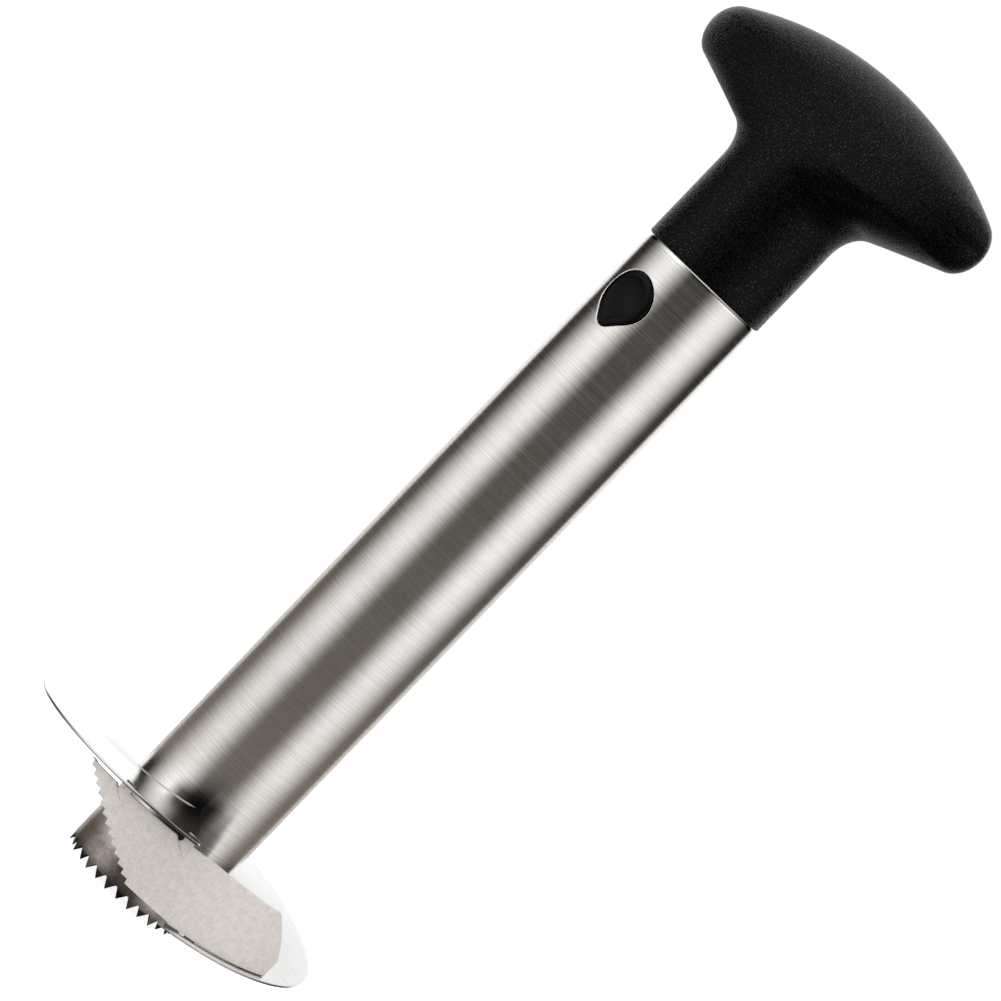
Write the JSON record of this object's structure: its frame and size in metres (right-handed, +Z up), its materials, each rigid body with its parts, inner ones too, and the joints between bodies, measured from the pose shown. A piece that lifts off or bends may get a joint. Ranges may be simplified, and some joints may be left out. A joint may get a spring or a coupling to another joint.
{
  "type": "pineapple corer",
  "caption": "Steel coring tube with a toothed foot, a helical slicing blade and side blade, and a black T-handle held by two sprung release buttons.",
  "frame": {"origin": "on the tube's axis, in the plane of the tooth tips that the corer stands on", "axes": "+Z up the tube to the handle, X along the handle's bar, -Y towards the front release button"},
  "size_m": [0.0978, 0.0884, 0.2467],
  "materials": {
    "brushed_tube": "brushed round the tube",
    "polished_blade": "polished sheet",
    "satin_blade": "satin rolled sheet",
    "grip_plastic": "pebbled black moulding",
    "plug_plastic": "smooth black moulding",
    "button_plastic": "glossy black moulding",
    "screw_steel": "plated",
    "spring_steel": "drawn wire"
  },
  "bodies": {
    "corer": {"coring_tube": "brushed_tube", "helical_blade": "polished_blade", "side_blade": "satin_blade", "grip": "grip_plastic", "plug_housing": "plug_plastic", "end_cap": "plug_plastic", "housing_screw": "screw_steel", "front_spring": "spring_steel", "back_spring": "spring_steel"},
    "front_release": {"front_button": "button_plastic"},
    "back_release": {"back_button": "button_plastic"}
  },
  "joints": [
    {"name": "front_button_press", "type": "slide", "parent": "corer", "child": "front_release", "axis": [0, 1, 0], "range_m": [0, 0.003], "stiffness_N_per_m": 400, "springref_m": -0.003, "deforming": ["front_spring"]},
    {"name": "back_button_press", "type": "slide", "parent": "corer", "child": "back_release", "axis": [0, -1, 0], "range_m": [0, 0.003], "stiffness_N_per_m": 400, "springref_m": -0.003, "deforming": ["back_spring"]}
  ]
}
